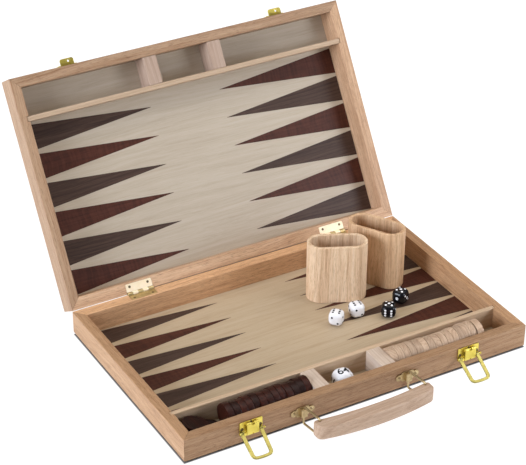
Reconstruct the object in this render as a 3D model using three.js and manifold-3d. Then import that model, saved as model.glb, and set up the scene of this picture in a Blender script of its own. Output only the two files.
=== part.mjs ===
// A backgammon case: two wooden trays hinged together, opened like a laptop, with its playing pieces inside.
// Millimetres, +Z up. X runs along the case, +Y towards the hinges. The origin is the middle of the
// underside of the lower tray.
import * as THREE from 'three';
import { mergeVertices } from 'three/addons/utils/BufferGeometryUtils.js';
import { RoundedBoxGeometry } from 'three/addons/geometries/RoundedBoxGeometry.js';
import Module from 'manifold-3d';

const wasm = await Module();
wasm.setup();

// ---- driving dimensions ----
const caseLength = 380;
const caseDepth = 237;
const halfHeight = 26;
const railThickness = 10.5;
const rearRailThickness = 12;
const edgeRadius = 3;
const panelThickness = 3;
const gap = 0.3;

const compartmentWidth = 29.6;
const dividerThickness = 5.2;
const dividerTongue = 2.4;
const notchDepth = 3;
const rimDrop = 0.5;
const blockLength = 15;
const blockOffset = 37;

const lidOpening = 122;
const hingeSetback = 1.8;
const hingeOffset = 114;
const leafLength = 29;
const leafDepth = 8.6;
const leafThickness = 1;
const knuckleRadius = 2;
const hingePinRadius = 0.8;
const knuckleCount = 5;

const latchOffset = 121;
const plateThickness = 1;
const loopAngle = 27.2;
const loopLength = 28.4;
const loopWidth = 24;
const loopArm = 3.8;
const loopFoot = 2.9;
const loopThickness = 1.6;
const tabHeight = 39.2;
const tabReach = 7.5;

const handleCentre = -4.4;
const bracketCentre = -7.4;
const bracketSpacing = 116.4;
const ringReach = 23.8;
const ringRadius = 1.15;
const ringLow = 1.6;
const ringHigh = 20.6;
const handleBottom = 3.5;
const handleTop = 18.9;

const cupLength = 62;
const cupWidth = 29;
const cupHeight = 66;
const cupWall = 3.6;
const cupFloor = 4;

const dieSize = 15;
const doublingDieSize = 20;
const checkerDiameter = 26;
const checkerThickness = 7;

// ---- derived positions ----
const halfLength = caseLength / 2;
const halfDepth = caseDepth / 2;
const innerX = halfLength - railThickness;
const innerY = halfDepth - railThickness;
const dividerFront = -innerY + compartmentWidth;
const dividerBack = dividerFront + dividerThickness;
const rearFace = innerY + rearRailThickness;
const hingeY = halfDepth + hingeSetback;
const frontFace = -halfDepth;
const plateBack = frontFace - gap;
const plateFront = plateBack - plateThickness;
const boardTop = panelThickness + gap;
const ringSwing = Math.asin((handleCentre - bracketCentre) / ringReach);
const ringAxisY = plateFront - 1.5;

// ---- colours ----
const railWood = { color: 0xb98d66, roughness: 0.55, metalness: 0 };
const boardWood = { color: 0xc4b08e, roughness: 0.5, metalness: 0 };
const blockWood = { color: 0xd9bfa4, roughness: 0.6, metalness: 0 };
const handleWood = { color: 0xc8a78f, roughness: 0.5, metalness: 0 };
const cupWood = { color: 0xcaa57c, roughness: 0.6, metalness: 0 };
const darkWood = { color: 0x3a2226, roughness: 0.45, metalness: 0 };
const lightWood = { color: 0xd8bfa3, roughness: 0.5, metalness: 0 };
const paleBrass = { color: 0xd9cc96, roughness: 0.3, metalness: 1 };
const yellowBrass = { color: 0xe0c63c, roughness: 0.25, metalness: 1 };
const dullBrass = { color: 0xa89768, roughness: 0.4, metalness: 1 };
const whitePlastic = { color: 0xe9e8e6, roughness: 0.25, metalness: 0 };
const blackPlastic = { color: 0x0d0d10, roughness: 0.2, metalness: 0 };

const group = new THREE.Group();

// ---- helpers: solids ----
function solid(geometry) {
  const bare = geometry.clone();
  bare.deleteAttribute('normal');
  bare.deleteAttribute('uv');
  const merged = mergeVertices(bare, 1e-4);
  const index = Array.from(merged.index.array);
  const kept = [];
  for (let i = 0; i < index.length; i += 3) {
    const [a, b, c] = [index[i], index[i + 1], index[i + 2]];
    if (a !== b && b !== c && c !== a) kept.push(a, b, c);
  }
  const vertProperties = new Float32Array(merged.attributes.position.array);
  return new wasm.Manifold(new wasm.Mesh({ numProp: 3, vertProperties, triVerts: new Uint32Array(kept) }));
}

function toGeometry(manifold) {
  const mesh = manifold.getMesh();
  const geometry = new THREE.BufferGeometry();
  geometry.setAttribute('position', new THREE.BufferAttribute(new Float32Array(mesh.vertProperties), 3));
  geometry.setIndex(new THREE.BufferAttribute(new Uint32Array(mesh.triVerts), 1));
  geometry.computeVertexNormals();
  return geometry;
}

function join(...parts) {
  return parts.reduce((whole, part) => whole.add(part));
}

function cut(body, ...tools) {
  return tools.reduce((whole, tool) => whole.subtract(tool), body);
}

function addMesh(parent, name, manifold, look) {
  const mesh = new THREE.Mesh(toGeometry(manifold), new THREE.MeshStandardMaterial(look));
  mesh.name = name;
  parent.add(mesh);
  return mesh;
}

// ---- helpers: shapes ----
function box(x0, x1, y0, y1, z0, z1) {
  const geometry = new THREE.BoxGeometry(x1 - x0, y1 - y0, z1 - z0);
  geometry.translate((x0 + x1) / 2, (y0 + y1) / 2, (z0 + z1) / 2);
  return solid(geometry);
}

function polygon(points) {
  return new THREE.Shape(points.map(([u, v]) => new THREE.Vector2(u, v)));
}

// An outline drawn in X and Y, raised from z0 to z1.
function raiseZ(shape, z0, z1, curveSegments = 8) {
  const geometry = new THREE.ExtrudeGeometry(shape, { depth: z1 - z0, bevelEnabled: false, curveSegments });
  geometry.translate(0, 0, z0);
  return solid(geometry);
}

// An outline drawn in Y and Z, run along X from x0 to x1.
function runX(shape, x0, x1, curveSegments = 8) {
  const geometry = new THREE.ExtrudeGeometry(shape, { depth: x1 - x0, bevelEnabled: false, curveSegments });
  geometry.applyMatrix4(new THREE.Matrix4().set(0, 0, 1, x0, 1, 0, 0, 0, 0, 1, 0, 0, 0, 0, 0, 1));
  return solid(geometry);
}

// An outline drawn in X and Z, run along Y from y0 to y1.
function runY(shape, y0, y1, curveSegments = 8) {
  const geometry = new THREE.ExtrudeGeometry(shape, { depth: y1 - y0, bevelEnabled: false, curveSegments });
  geometry.applyMatrix4(new THREE.Matrix4().set(1, 0, 0, 0, 0, 0, -1, y1, 0, 1, 0, 0, 0, 0, 0, 1));
  return solid(geometry);
}

function rodX(x0, x1, y, z, radius, sides = 16) {
  const geometry = new THREE.CylinderGeometry(radius, radius, x1 - x0, sides);
  geometry.rotateZ(Math.PI / 2);
  geometry.translate((x0 + x1) / 2, y, z);
  return solid(geometry);
}

function rodY(y0, y1, x, z, radius, sides = 12) {
  const geometry = new THREE.CylinderGeometry(radius, radius, y1 - y0, sides);
  geometry.translate(x, (y0 + y1) / 2, z);
  return solid(geometry);
}

function rodZ(z0, z1, x, y, radius, sides = 16) {
  const geometry = new THREE.CylinderGeometry(radius, radius, z1 - z0, sides);
  geometry.rotateX(Math.PI / 2);
  geometry.translate(x, y, (z0 + z1) / 2);
  return solid(geometry);
}

function roundedRectangle(width, height, radius) {
  const [w, h] = [width / 2, height / 2];
  const shape = new THREE.Shape();
  shape.moveTo(-w + radius, -h);
  shape.lineTo(w - radius, -h);
  shape.absarc(w - radius, -h + radius, radius, -Math.PI / 2, 0, false);
  shape.lineTo(w, h - radius);
  shape.absarc(w - radius, h - radius, radius, 0, Math.PI / 2, false);
  shape.lineTo(-w + radius, h);
  shape.absarc(-w + radius, h - radius, radius, Math.PI / 2, Math.PI, false);
  shape.lineTo(-w, -h + radius);
  shape.absarc(-w + radius, -h + radius, radius, Math.PI, Math.PI * 1.5, false);
  return shape;
}

// ---- tray rails ----
// Upright section of a rail: inner face at 0, outer face at its thickness, outer bottom edge rounded.
function railSection(outward, thickness) {
  const shape = new THREE.Shape();
  const outer = outward * thickness;
  shape.moveTo(0, 0);
  const steps = 3;
  for (let i = 0; i <= steps; i += 1) {
    const turn = (Math.PI / 2) * (i / steps);
    const u = outer - outward * edgeRadius * (1 - Math.sin(turn));
    const v = edgeRadius * (1 - Math.cos(turn));
    shape.lineTo(u, v);
  }
  shape.lineTo(outer, halfHeight);
  shape.lineTo(0, halfHeight);
  return shape;
}

const mitreGap = 0.22;

// Front or rear rail, mitred at both ends. side is -1 at the front and 1 at the rear.
function longRail(side) {
  const thickness = side > 0 ? rearRailThickness : railThickness;
  const body = runX(railSection(side, thickness), -halfLength, halfLength);
  const placed = body.translate([0, side * innerY, 0]);
  const mitre = raiseZ(polygon([
    [-halfLength + mitreGap, side * (innerY + thickness)],
    [halfLength - mitreGap, side * (innerY + thickness)],
    [innerX - mitreGap, side * innerY],
    [-innerX + mitreGap, side * innerY],
  ]), -1, halfHeight + 1);
  return placed.intersect(mitre);
}

// Left or right rail with the slot that takes the end of the divider. side is -1 on the left.
function sideRail(side) {
  const body = runY(railSection(side, railThickness), -halfDepth, rearFace);
  const placed = body.translate([side * innerX, 0, 0]);
  const mitre = raiseZ(polygon([
    [side * halfLength, -halfDepth + mitreGap],
    [side * halfLength, rearFace - mitreGap],
    [side * innerX, innerY - mitreGap],
    [side * innerX, -innerY + mitreGap],
  ]), -1, halfHeight + 1);
  const x0 = Math.min(side * (innerX - 1), side * (innerX + notchDepth));
  const x1 = Math.max(side * (innerX - 1), side * (innerX + notchDepth));
  const slot = box(x0, x1, dividerFront - gap, dividerBack + gap, panelThickness, halfHeight + 1);
  return cut(placed.intersect(mitre), slot);
}

// ---- one tray: rails, board, divider and the two spacer blocks ----
// The lid uses the same tray turned over, so its left and right change sides.
function addTray(parent, prefix, turned) {
  const left = turned ? 1 : -1;
  const mortises = [];
  for (const side of [-1, 1]) {
    const centre = side * hingeOffset;
    const reach = leafLength / 2 + gap;
    const floor = halfHeight - leafThickness - 0.1 - gap;
    mortises.push(box(centre - reach, centre + reach, halfDepth - leafDepth - gap, rearFace + 1, floor,
      halfHeight + 1));
    mortises.push(rodX(centre - reach, centre + reach, hingeY, halfHeight, knuckleRadius + gap, 20));
  }
  addMesh(parent, `${prefix}_front_rail`, longRail(-1), railWood);
  addMesh(parent, `${prefix}_rear_rail`, cut(longRail(1), ...mortises), railWood);
  addMesh(parent, `${prefix}_left_rail`, sideRail(left), railWood);
  addMesh(parent, `${prefix}_right_rail`, sideRail(-left), railWood);
  const panel = box(-innerX + gap, innerX - gap, -innerY + gap, innerY - gap, 0, panelThickness);
  addMesh(parent, `${prefix}_board`, panel, boardWood);
  const dividerReach = innerX + dividerTongue;
  const divider = box(-dividerReach, dividerReach, dividerFront, dividerBack, boardTop, halfHeight - rimDrop);
  addMesh(parent, `${prefix}_divider`, divider, blockWood);
  for (const [word, side] of [['left', left], ['right', -left]]) {
    const centre = side * blockOffset;
    const block = box(centre - blockLength / 2, centre + blockLength / 2, -innerY + gap, dividerFront - gap,
      boardTop, halfHeight - rimDrop);
    addMesh(parent, `${prefix}_${word}_block`, block, blockWood);
  }
}

// ---- butt hinges ----
// A leaf let into the rim, with every other knuckle. first is 0 for the lower leaf and 1 for the upper one.
function hingeLeaf(centre, first) {
  const top = halfHeight - 0.1;
  const bottom = top - leafThickness;
  const pitch = leafLength / knuckleCount;
  const plateEnd = hingeY - knuckleRadius - gap;
  const halfLeaf = leafLength / 2;
  let leaf = box(centre - halfLeaf, centre + halfLeaf, halfDepth - leafDepth, plateEnd, bottom, top);
  for (let i = first; i < knuckleCount; i += 2) {
    const x0 = centre - leafLength / 2 + i * pitch + gap / 2;
    const x1 = x0 + pitch - gap;
    leaf = join(leaf, box(x0, x1, plateEnd - 1, hingeY, bottom, top));
    leaf = join(leaf, rodX(x0, x1, hingeY, halfHeight, knuckleRadius));
  }
  const bore = rodX(centre - leafLength, centre + leafLength, hingeY, halfHeight, hingePinRadius + gap, 12);
  const holeY = halfDepth - 5.6;
  const holes = [-1, 1].map((side) => rodZ(bottom - 1, top + 1, centre + side * 10.2, holeY, 1.2, 10));
  return cut(leaf, bore, ...holes);
}

function addHinges(base, lid) {
  for (const [word, side] of [['left', -1], ['right', 1]]) {
    const centre = side * hingeOffset;
    addMesh(base, `hinge_${word}_base_leaf`, hingeLeaf(centre, 0), paleBrass);
    addMesh(lid, `hinge_${word}_lid_leaf`, hingeLeaf(-centre, 1), paleBrass);
    const halfLeaf = leafLength / 2;
    const pin = rodX(centre - halfLeaf, centre + halfLeaf, hingeY, halfHeight, hingePinRadius, 12);
    addMesh(base, `hinge_${word}_pin`, pin, paleBrass);
  }
}

// ---- draw latches on the front of the lower tray ----
const leverAxis = { y: plateFront - 1.9, z: 22.6 };
const loopAxis = { y: plateFront - 1.9, z: 13.8 };
const leverWidth = 12.6;
const leverLug = 1.5;
const latchKnuckle = 1.6;
const latchRod = 0.8;
const leverPin = 0.7;
const coverSkin = 1.05;

// Back plate with ears, a middle lug for the lever's hinge pin, and a lower rod on two lugs for the loop.
function latchPlate(centre) {
  const upper = runY(polygon([[-12, 12.6], [-7.4, 12.6], [-7.4, 8.4], [7.4, 8.4], [7.4, 12.6], [12, 12.6],
    [12, 24.6], [-12, 24.6]]), plateFront, plateBack);
  const holes = [
    rodY(plateFront - 1, plateBack + 1, -9.7, 17.2, 1.1),
    rodY(plateFront - 1, plateBack + 1, 9.7, 17.2, 1.1),
  ];
  let plate = cut(upper, ...holes);
  for (const side of [-1, 1]) {
    const lug = box(side * 4.6 - 0.6, side * 4.6 + 0.6, loopAxis.y - 0.2, plateBack - 0.2, loopAxis.z - 1.7,
      loopAxis.z + 1.7);
    const cap = rodX(side * 12.8 - 0.4, side * 12.8 + 0.4, loopAxis.y, loopAxis.z, 1.5, 12);
    plate = join(plate, lug, cap);
  }
  const middleLug = box(-leverLug, leverLug, leverAxis.y - 0.9, plateBack - 0.2, leverAxis.z - 1.2,
    leverAxis.z + 1.1);
  const hingePin = rodX(-leverWidth / 2, leverWidth / 2, leverAxis.y, leverAxis.z, leverPin, 10);
  const crossRod = rodX(-12.8, 12.8, loopAxis.y, loopAxis.z, latchRod, 12);
  return join(plate, middleLug, hingePin, crossRod).translate([centre, 0, 0]);
}

// Pressed lever: two knuckles beside the middle lug and a flat cover that reaches down over the rod.
function latchLever(centre) {
  const { y, z } = leverAxis;
  const front = y - 2.2;
  const back = front + coverSkin;
  const cover = new THREE.Shape();
  cover.moveTo(y, z + latchKnuckle);
  cover.quadraticCurveTo(front, z + 1.6, front, z - 1.6);
  cover.lineTo(front, z - 9.6);
  cover.quadraticCurveTo(front, z - 11.2, front + 1.1, z - 11.4);
  cover.lineTo(front + 1.3, z - 10.6);
  cover.quadraticCurveTo(back, z - 10.4, back, z - 9.6);
  cover.lineTo(back, z - 0.4);
  const body = runX(cover, -leverWidth / 2, leverWidth / 2, 5);
  const knuckle = rodX(-leverWidth / 2, leverWidth / 2, y, z, latchKnuckle, 14);
  const bore = rodX(-leverWidth, leverWidth, y, z, leverPin + gap, 10);
  const slot = box(-leverLug - gap, leverLug + gap, front - 1, y + 3, z - 1.9, z + 3);
  return cut(join(body, knuckle), bore, slot).translate([centre, 0, 0]);
}

// Flat bail, drawn hanging straight down from its pivot at the origin.
function latchLoop() {
  const w = loopWidth / 2;
  const inner = w - loopArm;
  const foot = loopFoot - loopLength;
  const outline = new THREE.Shape();
  outline.moveTo(-w, 0);
  outline.lineTo(-w, -loopLength + 4.5);
  outline.quadraticCurveTo(-w + 0.3, -loopLength + 1.2, -w + 3.6, -loopLength + 0.8);
  outline.quadraticCurveTo(0, -loopLength - 0.6, w - 3.6, -loopLength + 0.8);
  outline.quadraticCurveTo(w - 0.3, -loopLength + 1.2, w, -loopLength + 4.5);
  outline.lineTo(w, 0);
  outline.lineTo(inner, 0);
  outline.lineTo(inner, foot + 1);
  outline.lineTo(inner - 1, foot);
  outline.lineTo(-inner + 1, foot);
  outline.lineTo(-inner, foot + 1);
  outline.lineTo(-inner, 0);
  let loop = runY(outline, -loopThickness / 2, loopThickness / 2, 5);
  for (const side of [-1, 1]) {
    const middle = side * (w - loopArm / 2);
    loop = join(loop, rodX(middle - loopArm / 2, middle + loopArm / 2, 0, 0, latchKnuckle, 14));
  }
  return cut(loop, rodX(-w - 1, w + 1, 0, 0, latchRod + gap, 12));
}

// Strike on the lid's front rail: a plate with a tab that stands out for the loop to hook over.
function strike(centre) {
  const tabTop = 2 * halfHeight - tabHeight + 1;
  const plate = box(-10, 10, plateFront, plateBack, tabTop - 10, tabTop);
  const tab = runY(polygon([[-7.5, tabTop - 1], [7.5, tabTop - 1], [7.5, tabTop], [-7.5, tabTop]]),
    plateBack - tabReach, plateBack);
  const hole = rodZ(tabTop - 3, tabTop + 2, -1.5, plateBack - 4.6, 1.2, 10);
  const screws = [-1, 1].map((side) => rodY(plateFront - 1, plateBack + 1, side * 7, tabTop - 6, 1.1, 10));
  return cut(join(plate, tab), hole, ...screws).translate([centre, 0, 0]);
}

function addLatches(base, lid) {
  for (const [word, side] of [['left', -1], ['right', 1]]) {
    const centre = side * latchOffset;
    addMesh(base, `latch_${word}_plate`, latchPlate(centre), yellowBrass);
    addMesh(base, `latch_${word}_lever`, latchLever(centre), yellowBrass);
    const loop = addMesh(base, `latch_${word}_loop`, latchLoop(), yellowBrass);
    loop.position.set(centre, loopAxis.y, loopAxis.z);
    loop.rotation.x = -THREE.MathUtils.degToRad(90 - loopAngle);
    addMesh(lid, `latch_${word}_strike`, strike(-centre), yellowBrass);
  }
}

// ---- handle with its two brackets and wire rings ----
function bracket(centre) {
  const middle = 14.2;
  const outline = new THREE.Shape();
  outline.moveTo(-5.8, -5.2);
  outline.lineTo(5.8, -5.2);
  outline.lineTo(7.4, -3);
  outline.absarc(9.3, 0, 3.6, -Math.PI * 0.69, Math.PI * 0.69, false);
  outline.lineTo(5.8, 5.2);
  outline.lineTo(-5.8, 5.2);
  outline.lineTo(-7.4, 3);
  outline.absarc(-9.3, 0, 3.6, Math.PI * 0.31, Math.PI * 1.69, false);
  const plate = runY(outline, plateFront, plateBack, 8);
  const holes = [-1, 1].map((side) => rodY(plateFront - 1, plateBack + 1, side * 9.3, 0, 1.3, 10));
  const front = ringAxisY - ringRadius - gap - 0.9;
  const strap = raiseZ(polygon([[-3.3, plateBack - 0.4], [-3.3, front + 0.8], [-2.5, front], [2.5, front],
    [3.3, front + 0.8], [3.3, plateBack - 0.4]]), -4.7, 4.7);
  const bore = rodZ(-6, 6, 0, ringAxisY, ringRadius + gap, 12);
  return cut(join(cut(plate, ...holes), strap), bore).translate([centre, 0, middle]);
}

// Wire bent in a C: a straight back through the bracket, two arms, and tips that enter the grip.
function wireRing() {
  const bend = 2;
  const corner = (u0, v0, u1, v1, u2, v2) => new THREE.QuadraticBezierCurve3(
    new THREE.Vector3(u0, 0, v0), new THREE.Vector3(u1, 0, v1), new THREE.Vector3(u2, 0, v2));
  const straight = (u0, v0, u1, v1) => new THREE.LineCurve3(
    new THREE.Vector3(u0, 0, v0), new THREE.Vector3(u1, 0, v1));
  const path = new THREE.CurvePath();
  const tip = ringReach;
  path.add(straight(tip, handleTop - 2.6, tip, ringHigh - bend));
  path.add(corner(tip, ringHigh - bend, tip, ringHigh, tip - bend, ringHigh));
  path.add(straight(tip - bend, ringHigh, bend, ringHigh));
  path.add(corner(bend, ringHigh, 0, ringHigh, 0, ringHigh - bend));
  path.add(straight(0, ringHigh - bend, 0, ringLow + bend));
  path.add(corner(0, ringLow + bend, 0, ringLow, bend, ringLow));
  path.add(straight(bend, ringLow, tip - bend, ringLow));
  path.add(corner(tip - bend, ringLow, tip, ringLow, tip, ringLow + bend));
  path.add(straight(tip, ringLow + bend, tip, handleBottom + 2.6));
  const section = new THREE.Shape();
  section.absarc(0, 0, ringRadius, 0, Math.PI * 2, false);
  return solid(new THREE.ExtrudeGeometry(section, { steps: 44, curveSegments: 4, extrudePath: path,
    bevelEnabled: false }));
}

// Bowed wooden grip with a hole in each end, top and bottom, for the tips of the rings.
function handleGrip() {
  const half = 64;
  const holeY = ringAxisY - ringReach * Math.cos(ringSwing);
  const outline = new THREE.Shape();
  outline.moveTo(-half, holeY + 0.5);
  outline.quadraticCurveTo(-half + 0.4, holeY + 3.6, -half + 5, holeY + 3.2);
  outline.quadraticCurveTo(0, holeY - 5.4, half - 5, holeY + 3.2);
  outline.quadraticCurveTo(half - 0.4, holeY + 3.6, half, holeY + 0.5);
  outline.lineTo(half, holeY - 5.5);
  outline.quadraticCurveTo(half - 0.6, holeY - 8.4, half - 5, holeY - 10);
  outline.quadraticCurveTo(0, holeY - 21.5, -half + 5, holeY - 10);
  outline.quadraticCurveTo(-half + 0.6, holeY - 8.4, -half, holeY - 5.5);
  const bevel = 2;
  const geometry = new THREE.ExtrudeGeometry(outline, { depth: handleTop - handleBottom - 2 * bevel,
    bevelEnabled: true, bevelThickness: bevel, bevelSize: bevel, bevelOffset: -bevel, bevelSegments: 2,
    curveSegments: 8 });
  geometry.translate(0, 0, handleBottom + bevel);
  const tools = [];
  for (const side of [-1, 1]) {
    const x = side * bracketSpacing / 2;
    tools.push(rodZ(handleTop - 3.2, handleTop + 1, x, holeY, ringRadius + gap, 12));
    tools.push(rodZ(handleBottom - 1, handleBottom + 3.2, x, holeY, ringRadius + gap, 12));
  }
  return cut(solid(geometry), ...tools).translate([handleCentre, 0, 0]);
}

function addHandle(base) {
  for (const [word, side] of [['left', -1], ['right', 1]]) {
    const centre = bracketCentre + side * bracketSpacing / 2;
    addMesh(base, `handle_${word}_bracket`, bracket(centre), dullBrass);
    const ring = addMesh(base, `handle_${word}_ring`, wireRing(), dullBrass);
    ring.position.set(centre, ringAxisY, 0);
    ring.rotation.z = -Math.PI / 2 + ringSwing;
  }
  addMesh(base, 'handle_grip', handleGrip(), handleWood);
}

// ---- dice cups, dice and checkers ----
// Stadium outline: straight sides and two half round ends.
function stadium(length, width) {
  return roundedRectangle(length, width, width / 2 - 0.01);
}

function diceCup() {
  const outer = raiseZ(stadium(cupLength, cupWidth), 0, cupHeight, 7);
  const hollow = raiseZ(stadium(cupLength - 2 * cupWall, cupWidth - 2 * cupWall), cupFloor, cupHeight + 1, 7);
  return cut(outer, hollow);
}

function addCups(base) {
  const places = [['dice_cup_left', 73.5, 47.2, -25.3], ['dice_cup_right', 126.2, 55.4, -58.4]];
  for (const [name, x, y, turn] of places) {
    const cup = addMesh(base, name, diceCup(), cupWood);
    cup.position.set(x, y, boardTop);
    cup.rotation.z = THREE.MathUtils.degToRad(turn);
  }
}

function addDice(base) {
  const small = solid(new RoundedBoxGeometry(dieSize, dieSize, dieSize, 2, 5.2));
  const large = solid(new RoundedBoxGeometry(doublingDieSize, doublingDieSize, doublingDieSize, 2, 8));
  const places = [
    ['white_die_left', small, 46.9, 3.1, -45, whitePlastic, dieSize],
    ['white_die_right', small, 72.3, 5.8, -9, whitePlastic, dieSize],
    ['black_die_left', small, 100.2, -11, -37, blackPlastic, dieSize],
    ['black_die_right', small, 124.8, 4.9, 27, blackPlastic, dieSize],
    ['doubling_die', large, -5.2, -92.6, -5, whitePlastic, doublingDieSize],
  ];
  for (const [name, shape, x, y, turn, look, size] of places) {
    const die = addMesh(base, name, shape, look);
    die.position.set(x, y, boardTop + size / 2);
    die.rotation.z = THREE.MathUtils.degToRad(turn);
  }
}

// One or two checkers side by side as a turned solid about X, starting at x = 0, with broken edges.
function checkerStack(count) {
  const radius = checkerDiameter / 2;
  const chamfer = 0.8;
  const profile = [[0, 0]];
  for (let i = 0; i < count; i += 1) {
    const start = i * checkerThickness;
    const end = start + checkerThickness - (i === count - 1 ? gap : 0);
    profile.push([radius - chamfer, start], [radius, start + chamfer], [radius, end - chamfer]);
    if (i === count - 1) profile.push([radius - chamfer, end], [0, end]);
  }
  const geometry = new THREE.LatheGeometry(profile.map(([r, h]) => new THREE.Vector2(r, h)), 20);
  geometry.rotateZ(-Math.PI / 2);
  return solid(geometry);
}

// A checker lying or leaning: the middle of its lower face, and its axis turned about Y from level.
function looseChecker(base, name, x, z, turn, look) {
  const middleY = (-innerY + dividerFront) / 2;
  const checker = addMesh(base, name, checkerStack(1), look);
  checker.position.set(x, middleY, z);
  checker.rotation.y = THREE.MathUtils.degToRad(turn);
}

// Rows stand on edge against the blocks, in pairs that are a little out of line with one another.
function addCheckers(base) {
  const middleY = (-innerY + dividerFront) / 2;
  const standing = boardTop + checkerDiameter / 2;
  const rowEdge = blockOffset + blockLength / 2 + gap;
  const rows = [
    ['dark', -1, darkWood, [1.2, -0.6, 0.9, -1.0, 0.4, -1.3]],
    ['light', 1, lightWood, [0.8, 0.8, -0.2, -1.2, -1.2, -0.4, 1.0]],
  ];
  for (const [word, side, look, offsets] of rows) {
    offsets.forEach((offset, i) => {
      const near = rowEdge + 2 * i * checkerThickness;
      const x = side > 0 ? near : -near - 2 * checkerThickness + gap;
      const stack = addMesh(base, `${word}_checkers_${2 * i + 1}_${2 * i + 2}`, checkerStack(2), look);
      stack.position.set(x, middleY + offset, standing);
    });
  }
  looseChecker(base, 'light_checker_15', 144.4, standing + 0.1, -4, lightWood);
  looseChecker(base, 'dark_checker_13', -rowEdge - 13 * checkerThickness + gap, standing, 0, darkWood);
  looseChecker(base, 'dark_checker_14', -152, boardTop, -90, darkWood);
  looseChecker(base, 'dark_checker_15', -166.2, boardTop + checkerThickness + 3.1, -78, darkWood);
}

// ---- assembly ----
const base = new THREE.Group();
const lidHinge = new THREE.Group();
lidHinge.position.set(0, hingeY, halfHeight);
lidHinge.rotation.x = -THREE.MathUtils.degToRad(lidOpening);
const lid = new THREE.Group();
lid.rotation.y = Math.PI;
lid.position.set(0, -hingeY, halfHeight);
lidHinge.add(lid);
group.add(base, lidHinge);

addTray(base, 'base', false);
addTray(lid, 'lid', true);
addHinges(base, lid);
addLatches(base, lid);
addHandle(base);
addCups(base);
addDice(base);
addCheckers(base);

export default group;
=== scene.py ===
"""A wooden backgammon case, open on its hinges, with its playing pieces. Metres; the shapes are drawn in
millimetres in the frame of the tray they belong to and brought into place by one matrix each."""

import math
import random

import bmesh
import bpy
from mathutils import Matrix, Vector


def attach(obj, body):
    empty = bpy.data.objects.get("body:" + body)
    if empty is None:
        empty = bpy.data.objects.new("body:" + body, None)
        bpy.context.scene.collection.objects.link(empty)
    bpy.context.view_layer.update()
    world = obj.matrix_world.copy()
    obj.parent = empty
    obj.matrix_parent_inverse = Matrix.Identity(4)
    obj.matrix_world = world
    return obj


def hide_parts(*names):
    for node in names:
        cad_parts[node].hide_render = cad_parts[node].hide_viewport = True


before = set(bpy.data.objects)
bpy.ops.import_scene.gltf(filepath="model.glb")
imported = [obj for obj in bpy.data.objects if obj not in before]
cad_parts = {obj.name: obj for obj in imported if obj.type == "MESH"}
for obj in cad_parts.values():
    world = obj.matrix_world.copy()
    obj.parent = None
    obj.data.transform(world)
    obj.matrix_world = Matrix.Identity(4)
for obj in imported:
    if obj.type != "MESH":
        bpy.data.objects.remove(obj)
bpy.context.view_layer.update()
draw = random.Random(11)

# ---- sizes in millimetres, the same as the CAD part ----
MM = 0.001
LENGTH = 380
DEPTH = 237
HEIGHT = 26
RAIL = 10.5
PANEL = 3
GAP = 0.3
COMPARTMENT = 29.6
DIVIDER = 5.2
RIM_DROP = 0.5
REAR_RAIL = 12
BLOCK = 15
BLOCK_OFFSET = 37
LID_OPENING = 122
HINGE_Y = DEPTH / 2 + 1.8
HINGE_OFFSET = 114
LEAF = 29
LEAF_DEPTH = 8.6
LEAF_THICKNESS = 1
LEAF_SCREW = 10.2
POINT_LENGTH = 138.6
POINT_HALF_WIDTH = 13.5
POINT_PITCH = 30.4
FIRST_POINT = 94.3
LATCH_OFFSET = 121
LOOP_ANGLE = 27.2
LOOP_LENGTH = 28.4
LOOP_WIDTH = 24
LOOP_ARM = 3.8
LOOP_FOOT = 2.9
HANDLE_CENTRE = -4.4
BRACKET_CENTRE = -7.4
BRACKET_SPACING = 116.4
BRACKET_HEIGHT = 14.2
BRACKET_SCREW = 9.3
RING_REACH = 23.8
RING_RADIUS = 1.15
HANDLE_BOTTOM = 3.5
HANDLE_TOP = 18.9
CUP_LENGTH = 62
CUP_WIDTH = 29
CUP_HEIGHT = 66
DIE = 15
DIE_ROUNDING = 5.2
DOUBLING_DIE = 20
DOUBLING_ROUNDING = 8
CHECKER_RADIUS = 13
CHECKER = 7

INNER_X = LENGTH / 2 - RAIL
INNER_Y = DEPTH / 2 - RAIL
DIVIDER_FRONT = -INNER_Y + COMPARTMENT
DIVIDER_BACK = DIVIDER_FRONT + DIVIDER
BOARD_TOP = PANEL + GAP
PLATE_BACK = -DEPTH / 2 - GAP
PLATE_FRONT = PLATE_BACK - 1
LEVER_Y, LEVER_Z = PLATE_FRONT - 1.9, 22.6
LOOP_Y, LOOP_Z = PLATE_FRONT - 1.9, 13.8
LEVER_HALF = 6.3
LEAF_SCREW_Y = DEPTH / 2 - 5.6
STRIKE_TOP = 2 * HEIGHT - 38.2
RING_Y = PLATE_FRONT - 1.5
RING_SWING = math.asin((HANDLE_CENTRE - BRACKET_CENTRE) / RING_REACH)


def turn(degrees, axis):
    return Matrix.Rotation(math.radians(degrees), 4, axis)


def shift(x, y, z):
    return Matrix.Translation((x, y, z))


BASE = Matrix.Scale(MM, 4)
LID = (BASE @ shift(0, HINGE_Y, HEIGHT) @ turn(-LID_OPENING, "X")
       @ shift(0, -HINGE_Y, HEIGHT) @ turn(180, "Y"))
TRAYS = {"base": (BASE, 1), "lid": (LID, -1)}
SIDES = {"left": -1, "right": 1}


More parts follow.
